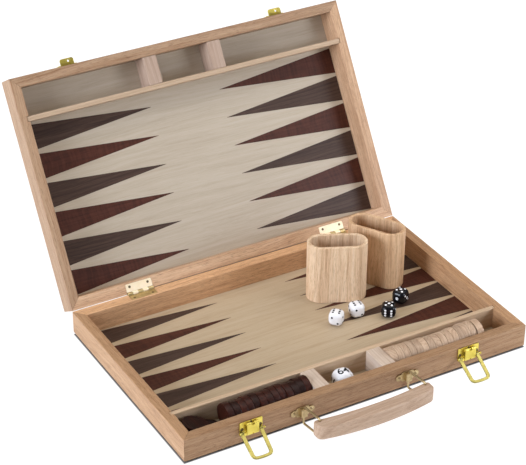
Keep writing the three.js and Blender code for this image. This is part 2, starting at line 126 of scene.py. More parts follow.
# ---- outlines ----
def rounded(points, radii, steps=4):
    """The outline through the points, with each corner rounded to its radius."""
    outline = []
    for i, point in enumerate(points):
        radius = radii[i] if isinstance(radii, (list, tuple)) else radii
        corner = Vector(point)
        if radius <= 0:
            outline.append(corner)
            continue
        back = (Vector(points[i - 1]) - corner).normalized()
        ahead = (Vector(points[(i + 1) % len(points)]) - corner).normalized()
        half = back.angle(ahead) / 2
        centre = corner + (back + ahead).normalized() * radius / math.sin(half)
        start = corner + back * radius / math.tan(half) - centre
        end = corner + ahead * radius / math.tan(half) - centre
        sweep = start.angle(end)
        for k in range(steps + 1):
            t = k / steps
            blend = start * math.sin((1 - t) * sweep) + end * math.sin(t * sweep)
            outline.append(centre + blend / math.sin(sweep))
    return outline


def bezier(start, control, end, steps):
    """Points of a curve with one control point, without its last point."""
    a, b, c = Vector(start), Vector(control), Vector(end)
    return [a * (1 - t) ** 2 + b * 2 * t * (1 - t) + c * t * t for t in (k / steps for k in range(steps))]


def rectangle(x0, x1, y0, y1):
    return [(x0, y0), (x1, y0), (x1, y1), (x0, y1)]


def stadium(length, width):
    """Straight sides with two half round ends."""
    radius = width / 2
    points = []
    for side in (1, -1):
        for k in range(17):
            angle = math.pi * k / 16 - math.pi / 2
            x = side * (length / 2 - radius + radius * math.cos(angle))
            points.append(Vector((x, side * radius * math.sin(angle))))
    return points


# ---- solids ----
def faces_between(bm, rings, closed=False):
    """Skin over rings of points that all have the same number of points."""
    loops = [[bm.verts.new(p) for p in ring] for ring in rings]
    count = len(loops[0])
    for first, second in zip(loops, loops[1:] + loops[:1] if closed else loops[1:]):
        for i in range(count):
            j = (i + 1) % count
            bm.faces.new((first[i], first[j], second[j], second[i]))
    if not closed:
        bm.faces.new(loops[0][::-1])
        bm.faces.new(loops[-1])
    bmesh.ops.recalc_face_normals(bm, faces=bm.faces)
    return bm


def soften(bm, edges, width, segments):
    """Rounds the edges."""
    bmesh.ops.bevel(bm, geom=list(edges), offset=width, segments=segments, profile=0.5, affect="EDGES",
                    clamp_overlap=True)


def prism(outline, low, high, edge=0.0, segments=2, plane="xy"):
    """An outline raised across its plane, with the edges of both ends rounded."""
    across = {"xy": 2, "yz": 0, "xz": 1}[plane]
    rings = [[(*p[:across], w, *p[across:]) for p in outline] for w in (low, high)]
    bm = faces_between(bmesh.new(), rings)
    if edge > 0:
        caps = [f for f in bm.faces if len({round(v.co[across], 4) for v in f.verts}) == 1]
        soften(bm, {e for f in caps for e in f.edges}, edge, segments)
    return bm


def block(x0, x1, y0, y1, z0, z1, edge, segments=3):
    """A box with every edge rounded."""
    rings = [[(x, y, z) for x, y in rectangle(x0, x1, y0, y1)] for z in (z0, z1)]
    bm = faces_between(bmesh.new(), rings)
    if edge > 0:
        soften(bm, bm.edges, edge, segments)
    return bm


def frame_at(direction):
    """Two directions across the given one."""
    along = Vector(direction).normalized()
    side = along.orthogonal().normalized()
    return side, along.cross(side)


def turned(profile, start, end, steps=32, closed=False):
    """A profile of (radius, distance) turned about the line from start to end."""
    start, end = Vector(start), Vector(end)
    along = (end - start).normalized()
    side, up = frame_at(along)
    bm = bmesh.new()
    rings = []
    for radius, distance in profile:
        ring = []
        for k in range(steps):
            angle = 2 * math.pi * k / steps
            out = side * math.cos(angle) + up * math.sin(angle)
            ring.append(start + along * distance + out * max(radius, 0.001))
        rings.append(ring)
    faces_between(bm, rings, closed=closed)
    bmesh.ops.remove_doubles(bm, verts=bm.verts, dist=0.003)
    bmesh.ops.recalc_face_normals(bm, faces=bm.faces)
    return bm


def rod(start, end, radius, edge=0.15):
    length = (Vector(end) - Vector(start)).length
    profile = [(0, 0), (radius - edge, 0), (radius - edge * 0.3, edge * 0.3), (radius, edge),
               (radius, length - edge), (radius - edge * 0.3, length - edge * 0.3),
               (radius - edge, length), (0, length)]
    return turned(profile, start, end, 24)


def barrel(start, end, inner, outer, edge=0.15):
    """A short tube with a hole through it."""
    length = (Vector(end) - Vector(start)).length
    profile = [(inner, 0), (outer - edge, 0), (outer, edge), (outer, length - edge),
               (outer - edge, length), (inner, length)]
    return turned(profile, start, end, 28, closed=True)


def wire(points, radius, sides=14):
    """A round wire through the points, with round tips."""
    path = [Vector(p) for p in points]
    side, _ = frame_at(path[1] - path[0])
    rings = []
    for i, point in enumerate(path):
        ahead = path[min(i + 1, len(path) - 1)]
        back = path[max(i - 1, 0)]
        along = (ahead - back).normalized()
        side = (side - along * side.dot(along)).normalized()
        up = along.cross(side)
        circle = [side * math.cos(2 * math.pi * k / sides) + up * math.sin(2 * math.pi * k / sides)
                  for k in range(sides)]
        if i == 0:
            rings.append([point - along * radius * 0.3 + c * radius * 0.6 for c in circle])
        rings.append([point + c * radius for c in circle])
        if i == len(path) - 1:
            rings.append([point + along * radius * 0.3 + c * radius * 0.6 for c in circle])
    return faces_between(bmesh.new(), rings)


def strip(path, thickness, edge):
    """A flat bar along (x, z, width) stations in the XZ plane, wide in that plane and thin along Y."""
    points = [Vector((p[0], p[1])) for p in path]
    rings = []
    for i, point in enumerate(points):
        ahead = points[min(i + 1, len(points) - 1)] - point
        back = point - points[max(i - 1, 0)]
        ahead = ahead.normalized() if ahead.length else back.normalized()
        back = back.normalized() if back.length else ahead
        along = (ahead + back).normalized()
        stretch = 1 / max(0.7, along.dot(ahead))
        normal = Vector((-along.y, along.x)) * stretch
        half = path[i][2] / 2
        section = rounded(rectangle(-half, half, -thickness / 2, thickness / 2), edge, 3)
        rings.append([(point.x + normal.x * s[0], s[1], point.y + normal.y * s[0]) for s in section])
    return faces_between(bmesh.new(), rings)


def rounded_cube(size, radius, steps=7):
    """A die: every point of a cube pulled back to a constant distance from a smaller cube."""
    half, core = size / 2, size / 2 - radius
    band = [core + radius * math.tan(math.radians(45) * k / steps) for k in range(steps + 1)]
    grid = [-b for b in reversed(band)] + band
    bm = bmesh.new()
    made = {}

    def corner(p):
        key = tuple(round(c, 4) for c in p)
        if key not in made:
            inner = Vector([max(-core, min(core, c)) for c in p])
            made[key] = bm.verts.new(inner + (Vector(p) - inner).normalized() * radius)
        return made[key]

    for axis in range(3):
        for side in (-half, half):
            for u0, u1 in zip(grid, grid[1:]):
                for v0, v1 in zip(grid, grid[1:]):
                    quad = []
                    for u, v in ((u0, v0), (u1, v0), (u1, v1), (u0, v1)):
                        p = [u, v]
                        p.insert(axis, side)
                        quad.append(corner(p))
                    if len(set(quad)) == 4:
                        bm.faces.new(quad)
    bmesh.ops.recalc_face_normals(bm, faces=bm.faces)
    return bm


def added(name, data):
    """A new object in the scene."""
    one = bpy.data.objects.new(name, data)
    bpy.context.scene.collection.objects.link(one)
    return one


def finished(bm, name, materials=()):
    """The mesh of a bmesh that is no longer needed."""
    mesh = bpy.data.meshes.new(name)
    bm.to_mesh(mesh)
    bm.free()
    for material in materials:
        mesh.materials.append(material)
    return mesh


def evaluated(one):
    """The shape of an object with its modifiers."""
    mesh = bpy.data.meshes.new_from_object(one.evaluated_get(bpy.context.evaluated_depsgraph_get()))
    bm = bmesh.new()
    bm.from_mesh(mesh)
    bpy.data.meshes.remove(mesh)
    return bm


def joined(*parts):
    """Several meshes as one, without a boolean."""
    whole = bmesh.new()
    for part in parts:
        mesh = finished(part, "part")
        whole.from_mesh(mesh)
        bpy.data.meshes.remove(mesh)
    return whole


def moved(bm, matrix):
    bmesh.ops.transform(bm, matrix=matrix, verts=bm.verts)
    return bm


def copied(bm, matrix):
    return moved(bm.copy(), matrix)


def carved(bm, cutters, mark=None):
    """bm less the cutters. With mark, the cut faces get that material index."""
    whole = joined(*cutters)
    if mark is not None:
        for face in whole.faces:
            face.material_index = mark
    objects = [added("carve", finished(part, "carve", blank_materials)) for part in (bm, whole)]
    cut = objects[0].modifiers.new("carve", "BOOLEAN")
    cut.object = objects[1]
    cut.operation = "DIFFERENCE"
    cut.solver = "EXACT"
    cut.material_mode = "INDEX"
    result = evaluated(objects[0])
    for one in objects:
        bpy.data.meshes.remove(one.data)
    return result


blank_materials = [bpy.data.materials.new("blank_a"), bpy.data.materials.new("blank_b")]


# ---- materials ----
class Look:
    """A material or a world being built from nodes."""

    def __init__(self, owner):
        owner.use_nodes = True
        self.owner = owner
        self.tree = owner.node_tree
        self.tree.nodes.clear()

    def add(self, kind, inputs=None, **settings):
        node = self.tree.nodes.new(kind)
        for key, value in settings.items():
            setattr(node, key, value)
        for key, value in (inputs or {}).items():
            if isinstance(value, bpy.types.NodeSocket):
                self.tree.links.new(value, node.inputs[key])
            else:
                node.inputs[key].default_value = value
        return node

    def maths(self, operation, a, b=0.0, c=0.0):
        return self.add("ShaderNodeMath", {0: a, 1: b, 2: c}, operation=operation).outputs[0]

    def total(self, *terms, start=0.0):
        """The start plus each value times its weight."""
        for value, weight in terms:
            start = self.maths("MULTIPLY_ADD", value, weight, start)
        return start

    def noise(self, vector, scale, detail=2.0, roughness=0.5):
        """Noise at its own scale along each of the three directions, per millimetre."""
        mapped = self.add("ShaderNodeMapping", {"Vector": vector, "Scale": scale}).outputs[0]
        return self.add("ShaderNodeTexNoise", {
            "Vector": mapped, "Scale": 1.0, "Detail": detail, "Roughness": roughness})

    def ramp(self, value, stops):
        node = self.add("ShaderNodeValToRGB", {"Fac": value})
        while len(node.color_ramp.elements) < len(stops):
            node.color_ramp.elements.new(0.5)
        for element, (position, colour) in zip(node.color_ramp.elements, stops):
            element.position = position
            element.color = (*colour, 1) if isinstance(colour, tuple) else (colour,) * 3 + (1,)
        return node.outputs[0]

    def mix(self, factor, a, b):
        a, b = [(*tone, 1) if isinstance(tone, tuple) else tone for tone in (a, b)]
        return self.add("ShaderNodeMix", {0: factor, 6: a, 7: b}, data_type="RGBA").outputs[2]

    def grain(self):
        return self.add("ShaderNodeAttribute", attribute_name="grain").outputs["Vector"]

    def vector(self, operation, a, b=(0, 0, 0), output="Vector"):
        return self.add("ShaderNodeVectorMath", {0: a, 1: b}, operation=operation).outputs[output]

    def edges(self, reach=0.6):
        """1 along sharp edges, where finish wears and where brass takes a painted dark reflection, fading to
        0 within the reach in millimetres.
        """
        softened = self.add("ShaderNodeBevel", {"Radius": reach * MM}, samples=4).outputs[0]
        true = self.add("ShaderNodeNewGeometry").outputs["Normal"]
        alike = self.vector("DOT_PRODUCT", softened, true, "Value")
        return self.ramp(alike, [(0.72, 1.0), (0.97, 0.0)])

    def finish(self, inputs, height=None, distance=0.0001, strength=0.3):
        """The shader and output, with the height as bump."""
        if height is not None:
            bump = {"Height": height, "Distance": distance, "Strength": strength}
            inputs["Normal"] = self.add("ShaderNodeBump", bump).outputs[0]
        shader = self.add("ShaderNodeBsdfPrincipled", inputs)
        self.add("ShaderNodeOutputMaterial", {"Surface": shader.outputs[0]})
        return self.owner


def wood(name, light, middle, dark, ring=4.0, rings=0.3, streaks=0.5, fibres=0.35, pores=0.35,
         rough=0.48, coat=0.06, worn=0.25, ripple=0.0, shine=0.3):
    """Sawn wood: growth rings round a distant pith, long streaks, fibres and short open pores."""
    look = Look(bpy.data.materials.new(name))
    grain = look.grain()
    sway = look.noise(grain, (0.005, 0.025, 0.025), 2.0).outputs["Color"]
    offset = look.vector("MULTIPLY", look.vector("SUBTRACT", sway, (0.5, 0.5, 0.5)), (16, 16, 16))
    bent = look.vector("ADD", grain, offset)
    radius = look.vector("LENGTH", look.vector("MULTIPLY", bent, (0, 1, 1)), output="Value")
    turns = look.maths("FRACT", look.maths("DIVIDE", radius, ring))
    ringed = look.ramp(turns, [(0.0, 0.15), (0.5, 0.35), (0.86, 1.0), (0.97, 0.3), (1.0, 0.15)])
    streak = look.noise(bent, (0.0045, 0.2, 0.2), 4.0, 0.6).outputs[0]
    fibre = look.noise(bent, (0.03, 1.3, 1.3), 5.0, 0.65).outputs[0]
    pore = look.noise(bent, (0.12, 3.0, 3.0), 2.0, 0.5).outputs[0]
    pored = look.ramp(pore, [(0.56, 0.0), (0.7, 1.0)])
    streaked = look.ramp(streak, [(0.3, 0.0), (0.7, 1.0)])
    fibred = look.ramp(fibre, [(0.3, 0.0), (0.7, 1.0)])
    whole = rings + streaks + fibres
    tone = look.total((ringed, rings / whole), (streaked, streaks / whole), (fibred, fibres / whole))
    if ripple > 0:
        figure = look.noise(bent, (0.35, 0.04, 0.04), 3.0, 0.55).outputs[0]
        curl = look.ramp(figure, [(0.42, 0.0), (0.6, 1.0)])
        tone = look.total((tone, 1 - ripple), (curl, ripple))
    colour = look.ramp(tone, [(0.15, light), (0.5, middle), (0.9, dark)])
    deep = tuple(c * 0.55 for c in dark)
    colour = look.mix(look.total((pored, pores)), colour, deep)
    pale = tuple(min(1.0, c * 1.25 + 0.02) for c in light)
    colour = look.mix(look.total((look.edges(), worn)), colour, pale)
    gloss = look.total((fibred, 0.12), start=rough - 0.06)
    height = look.total((fibred, 0.5), (pored, -1.0))
    return look.finish({"Base Color": colour, "Roughness": gloss, "Coat Weight": coat,
                        "Coat Roughness": 0.25, "Specular IOR Level": shine},
                       height, 0.00012, 0.3)


def brass(name, colour, tarnish, rough=0.22, mottled=0.3, rim=1.15, metal=1.0):
    """Brass with a little tarnish and brushed scratches. Its edges wear bright with a rim factor above 1 and
    take a painted dark reflection with one below 1.
    """
    look = Look(bpy.data.materials.new(name))
    grain = look.grain()
    cloud = look.noise(grain, (0.18, 0.18, 0.18), 4.0, 0.6).outputs[0]
    clouded = look.ramp(cloud, [(0.35, 0.0), (0.7, 1.0)])
    hair = look.noise(grain, (0.4, 6.0, 6.0), 3.0, 0.6).outputs[0]
    base = look.mix(look.total((clouded, mottled)), colour, tarnish)
    # Edge colour: worn bright above 1, and below 1 a painted dark reflection, not tarnish.
    worn = tuple(min(1.0, c * rim) for c in colour)
    base = look.mix(look.total((look.edges(0.7), 0.85)), base, worn)
    gloss = look.total((clouded, 0.14), (hair, 0.08), start=rough)
    return look.finish({"Base Color": base, "Metallic": metal, "Roughness": gloss}, hair, 0.00003, 0.15)


def plastic(name, colour, second, rough=0.22, coat=0.2, soft=0.0, shine=0.5):
    """Moulded plastic: faint mottling, tiny surface unevenness, and edges rubbed a little duller."""
    look = Look(bpy.data.materials.new(name))
    grain = look.grain()
    cloud = look.noise(grain, (0.25, 0.25, 0.25), 3.0).outputs[0]
    fine = look.noise(grain, (2.2, 2.2, 2.2), 3.0).outputs[0]
    base = look.mix(cloud, colour, second)
    gloss = look.total((look.edges(0.4), 0.1), (fine, 0.06), start=rough)
    return look.finish({"Base Color": base, "Roughness": gloss, "Coat Weight": coat,
                        "Coat Roughness": 0.08, "Specular IOR Level": shine, "Subsurface Weight": soft,
                        "Subsurface Radius": (0.002, 0.002, 0.002)}, fine, 0.00003, 0.2)


def shades(tones, amounts):
    """The tones of a wood, lightened or darkened by each amount."""
    return [[tuple(c * amount for c in tone) for tone in tones] for amount in amounts]


# All rails are one frame wood. The lid's paler, less saturated tones are a painted sheen.
RAIL_COLOURS = {
    "base": ((0.50, 0.305, 0.172), (0.415, 0.238, 0.124), (0.25, 0.115, 0.05)),
    "lid": ((0.60, 0.41, 0.265), (0.50, 0.31, 0.187), (0.32, 0.165, 0.082)),
}
# Painted light and shade: each rail's factor lightens or darkens it for the light that falls on it, the front
# rails darker and the rear rails lighter.
RAIL_PAINTED_LIGHT = {
    "base_front": 0.86, "base_rear": 1.54, "base_left": 1.06, "base_right": 1.16,
    "lid_front": 0.76, "lid_rear": 1.18, "lid_left": 0.82, "lid_right": 1.08,
}
FRAME = dict(ring=4.5, rings=0.25, streaks=0.45, fibres=0.75, pores=0.75)
RAIL_WOODS = {}
for rail_name, shade in RAIL_PAINTED_LIGHT.items():
    tones = shades(RAIL_COLOURS[rail_name.split("_")[0]], [shade])[0]
    RAIL_WOODS[rail_name] = wood(f"{rail_name}_rail_wood", *tones, **FRAME)
BOARD = dict(ring=7, streaks=0.5, pores=0.12, rough=0.45, coat=0.08)
PALE = dict(ring=3, rings=0.3, streaks=0.4, fibres=0.4, pores=0.25, rough=0.55, coat=0.0)
INLAID = dict(ring=3.5, rings=0.3, streaks=0.4, fibres=0.5, pores=0.4, rough=0.45, coat=0.05, worn=0.0,
              shine=0.2)
BOARD_WOOD = wood("board_wood", (0.52, 0.408, 0.28), (0.485, 0.37, 0.242), (0.41, 0.295, 0.18),
                  rings=0.15, fibres=0.5, **BOARD)
LID_BOARD_WOOD = wood("lid_board_wood", (0.515, 0.445, 0.355), (0.475, 0.40, 0.31), (0.41, 0.335, 0.25),
                      rings=0.1, fibres=0.45, **BOARD)
BLOCK_WOOD = wood("block_wood", (0.65, 0.53, 0.44), (0.59, 0.46, 0.36), (0.47, 0.34, 0.25), **PALE)
LID_BLOCK_WOOD = wood("lid_block_wood", (0.47, 0.355, 0.28), (0.42, 0.30, 0.23), (0.32, 0.215, 0.155), **PALE)
DIVIDER_WOOD = wood("divider_wood", (0.635, 0.465, 0.32), (0.56, 0.395, 0.255), (0.44, 0.29, 0.17), **PALE)
LID_DIVIDER_WOOD = wood("lid_divider_wood", (0.54, 0.40, 0.285), (0.475, 0.34, 0.23), (0.37, 0.25, 0.155),
                        **PALE)
HANDLE_WOOD = wood("handle_wood", (0.56, 0.405, 0.30), (0.46, 0.312, 0.215), (0.30, 0.183, 0.115), ring=4,
                   rings=0.3, streaks=0.6, fibres=0.5, pores=0.5, rough=0.5, coat=0.05)
# Both cups are one wood. The right cup's darker, more orange tones are painted shade, the left cup's shadow
# on it.
CUP_TONES_WITH_PAINTED_SHADE = {
    "dice_cup_left": ((0.88, 0.70, 0.50), (0.75, 0.53, 0.34), (0.44, 0.23, 0.115)),
    "dice_cup_right": ((0.80, 0.57, 0.36), (0.66, 0.42, 0.24), (0.38, 0.185, 0.085)),
}
CUP_WOODS = {
    cup_name: wood(f"{cup_name}_wood", *tones, ring=6, rings=0.25, streaks=0.8, fibres=0.7, pores=0.6,
                   rough=0.58, coat=0.0)
    for cup_name, tones in CUP_TONES_WITH_PAINTED_SHADE.items()
}
RED_POINT = wood("red_point_wood", (0.092, 0.027, 0.015), (0.065, 0.018, 0.010), (0.033, 0.010, 0.006),
                 ripple=0.25, **INLAID)
GREY_POINT = wood("grey_point_wood", (0.090, 0.052, 0.038), (0.058, 0.032, 0.023), (0.030, 0.016, 0.012),
                  **INLAID)

DARK_TONES = (0.068, 0.015, 0.008), (0.030, 0.006, 0.003), (0.010, 0.003, 0.002)
LIGHT_TONES = (0.60, 0.44, 0.31), (0.49, 0.335, 0.225), (0.33, 0.20, 0.12)
DARK_CHECKERS = [
    wood(f"dark_checker_wood_{i + 1}", *tones, ring=3, rings=0.3, streaks=0.5, fibres=0.5, pores=0.5,
         rough=0.42, coat=0.03, worn=0.5, shine=0.18)
    for i, tones in enumerate(shades(DARK_TONES, (1.15, 0.6, 0.9)))
]
LIGHT_CHECKERS = [
    wood(f"light_checker_wood_{i + 1}", *tones, ring=3, rings=0.4, streaks=0.5, fibres=0.4, pores=0.35,
         rough=0.5, coat=0.03)
    for i, tones in enumerate(shades(LIGHT_TONES, (1.08, 0.86, 1.0)))
]
HINGE_BRASS = brass("hinge_brass", (0.66, 0.52, 0.27), (0.34, 0.24, 0.10), rough=0.3, mottled=0.8)
# The lid's hinge leaves are the same brass as the base's. This pale, half-metal cream copy is a painted
# highlight, the bright reflection the lid's leaves catch.
LID_LEAF_PAINTED_HIGHLIGHT_BRASS = brass("lid_leaf_painted_highlight_brass", (1.0, 0.86, 0.64), (0.92, 0.74, 0.48), rough=0.5, metal=0.7)
SCREW_BRASS = brass("screw_brass", (0.20, 0.145, 0.07), (0.10, 0.07, 0.035), rough=0.38, mottled=0.6)
# Rim factors below 1 paint a dark reflection along the edges: strongly on the loops, less on the latch and
# the handle.
LATCH_BRASS = brass("latch_brass", (0.84, 0.69, 0.15), (0.58, 0.45, 0.06), rough=0.3, rim=0.75)
LOOP_BRASS = brass("loop_brass", (0.38, 0.33, 0.10), (0.28, 0.23, 0.05), rough=0.22, rim=0.2)
DULL_BRASS = brass("handle_brass", (0.60, 0.465, 0.26), (0.25, 0.175, 0.08), rough=0.26, mottled=0.7, rim=0.6)
WHITE_PLASTIC = plastic("white_plastic", (0.88, 0.87, 0.88), (0.82, 0.81, 0.83), soft=0.1)
BLACK_PLASTIC = plastic("black_plastic", (0.003, 0.003, 0.005), (0.006, 0.006, 0.008), rough=0.16, coat=0.0,
                        shine=0.3)
PIP_BLACK = plastic("pip_black", (0.003, 0.003, 0.005), (0.008, 0.008, 0.011), rough=0.3, coat=0.0,
                    shine=0.15)
PIP_WHITE = plastic("pip_white", (0.9, 0.9, 0.9), (0.82, 0.82, 0.84), coat=0.1)


# ---- finishing a piece ----
def along(axis, far=1.0):
    """The matrix that lays a piece's length along the grain and puts the pith somewhere outside it."""
    aligned = {"x": Matrix.Identity(4), "y": turn(-90, "Z"), "z": turn(90, "Y")}[axis]
    place = shift(draw.uniform(0, 900), draw.uniform(25, 70) * far, draw.uniform(-60, 60) * far)
    return place @ aligned


def piece(name, bm, place, body, materials, grain=None, nodes=None, sharp=38):
    """Makes one visible piece. It replaces the CAD node of its own name unless other nodes are given."""
    for face in bm.faces:
        face.smooth = True
    for edge in bm.edges:
        edge.smooth = edge.calc_face_angle(0.0) < math.radians(sharp)
    mesh = finished(bm, name, materials if isinstance(materials, list) else [materials])
    grain = grain if grain is not None else shift(draw.uniform(0, 90), draw.uniform(0, 90), 0)
    values = [c for v in mesh.vertices for c in grain @ v.co]
    mesh.attributes.new("grain", "FLOAT_VECTOR", "POINT").data.foreach_set("vector", values)
    mesh.transform(place)
    one = added(name, mesh)
    even = one.modifiers.new("even_normals", "WEIGHTED_NORMAL")
    even.keep_sharp = True
    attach(one, body)
    nodes = [name] if nodes is None else nodes
    if nodes:
        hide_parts(*nodes)


# ---- trays ----
def rail(lengthwise, side):
    """A mitred rail: section swept along it with 45 degree ends."""
    rear = lengthwise and side > 0
    section = rounded(rectangle(0, RAIL, 0, HEIGHT), [0.15, 3.0, 0.25 if rear else 0.9, 0.7], 4)
    run, off = (INNER_X, INNER_Y) if lengthwise else (INNER_Y, INNER_X)
    rings = []
    for end in (-1, 1):
        ring = []
        for u, z in section:
            a, b = end * (run + u - 0.12), side * (off + u)
            ring.append((a, b, z) if lengthwise else (b, a, z))
        rings.append(ring)
    bm = faces_between(bmesh.new(), rings)
    caps = [f for f in bm.faces if len(f.verts) > 4]
    soften(bm, {e for f in caps for e in f.edges}, 0.22, 2)
    return bm


def mortise(centre):
    """The recess for a hinge leaf, deeper at the back where the knuckles turn."""
    reach = LEAF / 2 + 0.15
    leaf = block(centre - reach, centre + reach, DEPTH / 2 - LEAF_DEPTH - 0.15, DEPTH / 2 + 3,
                 HEIGHT - LEAF_THICKNESS - 0.4, HEIGHT + 2, 0)
    return [leaf, rod((centre - reach, HINGE_Y, HEIGHT), (centre + reach, HINGE_Y, HEIGHT), 2.3, 0.05)]


def carry_back(bm):
    """Widens the rear rail outwards so that it reaches the hinge line, mitres included."""
    for vert in bm.verts:
        if vert.co.y > INNER_Y:
            vert.co.y = INNER_Y + (vert.co.y - INNER_Y) * REAR_RAIL / RAIL
    return bm


def divider_slot(side):
    x0, x1 = sorted((side * (INNER_X - 1), side * (INNER_X + 2.6)))
    return block(x0, x1, DIVIDER_FRONT - 0.15, DIVIDER_BACK + 0.15, PANEL, HEIGHT + 2, 0)


def point(side, y):
    """One inlaid point, base against the side rail and tip towards the middle."""
    foot, tip = side * (INNER_X - 0.4), side * (INNER_X - 0.4 - POINT_LENGTH)
    outline = [(foot, y - POINT_HALF_WIDTH), (tip, y - 0.15), (tip, y + 0.15), (foot, y + POINT_HALF_WIDTH)]
    return prism(outline, PANEL - 0.5, PANEL + 0.03)


# The lid's board, block and divider woods are copies of the base's in other tones, set for the light on the
# upright lid: painted light and shade.
TRAY_LOOKS = {
    "base": (BOARD_WOOD, BLOCK_WOOD, DIVIDER_WOOD),
    "lid": (LID_BOARD_WOOD, LID_BLOCK_WOOD, LID_DIVIDER_WOOD),
}
for prefix, (place, hand) in TRAYS.items():
    board_look, block_look, divider_look = TRAY_LOOKS[prefix]
    piece(f"{prefix}_front_rail", rail(True, -1), place, prefix, RAIL_WOODS[f"{prefix}_front"],
          along("x"))
    rear = carry_back(rail(True, 1))
    for centre in (-HINGE_OFFSET, HINGE_OFFSET):
        for cutter in mortise(centre):
            rear = carved(rear, [cutter])
    piece(f"{prefix}_rear_rail", rear, place, prefix, RAIL_WOODS[f"{prefix}_rear"], along("x"))
    for word, side in (("left", -hand), ("right", hand)):
        name = f"{prefix}_{word}"
        side_rail = carved(carry_back(rail(False, side)), [divider_slot(side)])
        piece(f"{name}_rail", side_rail, place, prefix, RAIL_WOODS[name], along("y"))
        middle = side * BLOCK_OFFSET
        bar = block(middle - BLOCK / 2, middle + BLOCK / 2, -INNER_Y + 0.15, DIVIDER_FRONT - 0.1,
                    PANEL + 0.05, HEIGHT - RIM_DROP, 0.5)
        piece(f"{name}_block", bar, place, prefix, block_look, along("y"))
        for i in range(6):
            red = (i % 2 == 1) == (name in ("base_left", "lid_right"))
            piece(f"{name}_point_{i + 1}", point(side, FIRST_POINT - POINT_PITCH * i), place, prefix,
                  RED_POINT if red else GREY_POINT, along("x"), ())
    board = block(-INNER_X + 0.1, INNER_X - 0.1, -INNER_Y + 0.1, INNER_Y - 0.1, 0.05, PANEL, 0.15, 2)
    piece(f"{prefix}_board", board, place, prefix, board_look, along("x", 2.5))
    span = INNER_X + 2.4
    divider = block(-span, span, DIVIDER_FRONT, DIVIDER_BACK, PANEL + 0.05, HEIGHT - RIM_DROP, 0.6)
    piece(f"{prefix}_divider", divider, place, prefix, divider_look, along("x"))


# ---- screws ----
def screw(radius, height=0.55):
    """A domed head with a cross recess, standing on z = 0."""
    profile = [(0, height), (radius * 0.5, height * 0.92), (radius * 0.85, height * 0.6),
               (radius, height * 0.2), (radius, -0.6), (0, -0.6)]
    head = turned(profile, (0, 0, 0), (0, 0, 1), 24)
    slots = [copied(block(-radius * 0.55, radius * 0.55, -0.17, 0.17, height - 0.45, height + 1, 0),
                    turn(angle, "Z")) for angle in (0, 90)]
    return carved(carved(head, slots[:1]), slots[1:])


MASTERS = {radius: screw(radius) for radius in (1.4, 1.7)}


def add_screw(name, radius, position, facing, place, body, material):
    """facing is 'front' for a head that looks along -Y and 'top' for one that looks along +Z."""
    matrix = shift(*position) @ (turn(90, "X") if facing == "front" else Matrix.Identity(4))
    head = copied(MASTERS[radius], matrix @ turn(draw.uniform(0, 90), "Z"))
    piece(name, head, place, body, material, nodes=())


# ---- hinges ----
def hinge_leaf(centre, first):
    top = HEIGHT - 0.08
    bottom = top - LEAF_THICKNESS
    pitch = LEAF / 5
    end = HINGE_Y - 2.3
    outline = rounded(rectangle(centre - LEAF / 2, centre + LEAF / 2, DEPTH / 2 - LEAF_DEPTH, end),
                      [1.4, 1.4, 0, 0], 5)
    leaf = prism(outline, bottom, top, 0.15, 2)
    sunk = [(0, -1), (1.1, -1), (1.1, 0.6), (2.0, 2.0), (0, 2.0)]
    holes = [turned(sunk, (x, LEAF_SCREW_Y, bottom), (x, LEAF_SCREW_Y, top))
             for x in (centre - LEAF_SCREW, centre + LEAF_SCREW)]
    parts = [carved(leaf, holes)]
    for i in range(first, 5, 2):
        x0 = centre - LEAF / 2 + i * pitch + 0.12
        x1 = x0 + pitch - 0.24
        parts.append(block(x0, x1, end - 0.5, HINGE_Y, bottom, top, 0.1, 2))
        parts.append(barrel((x0, HINGE_Y, HEIGHT), (x1, HINGE_Y, HEIGHT), 0.95, 2.0))
    return joined(*parts)


for word, side in SIDES.items():
    for prefix, (place, hand) in TRAYS.items():
        name = f"hinge_{word}_{prefix}"
        centre = hand * side * HINGE_OFFSET
        # The lid leaves take the painted highlight copy of the hinge brass.
        first, leaf_look = (0, HINGE_BRASS) if prefix == "base" else (1, LID_LEAF_PAINTED_HIGHLIGHT_BRASS)
        piece(f"{name}_leaf", hinge_leaf(centre, first), place, prefix, leaf_look)
        for i, off in enumerate((-LEAF_SCREW, LEAF_SCREW)):
            add_screw(f"{name}_screw_{i + 1}", 1.7, (centre + off, LEAF_SCREW_Y, HEIGHT - 0.45), "top", place,
                      prefix, SCREW_BRASS)
    centre = side * HINGE_OFFSET
    pin = rod((centre - LEAF / 2, HINGE_Y, HEIGHT), (centre + LEAF / 2, HINGE_Y, HEIGHT), 0.85)
    piece(f"hinge_{word}_pin", pin, BASE, "base", HINGE_BRASS)


# ---- latches ----
def drilled(plate, radius, *places):
    """The plate with a hole through it at each (x, z)."""
    drills = [rod((x, PLATE_FRONT - 1, z), (x, PLATE_BACK + 1, z), radius, 0.05) for x, z in places]
    return carved(plate, drills)


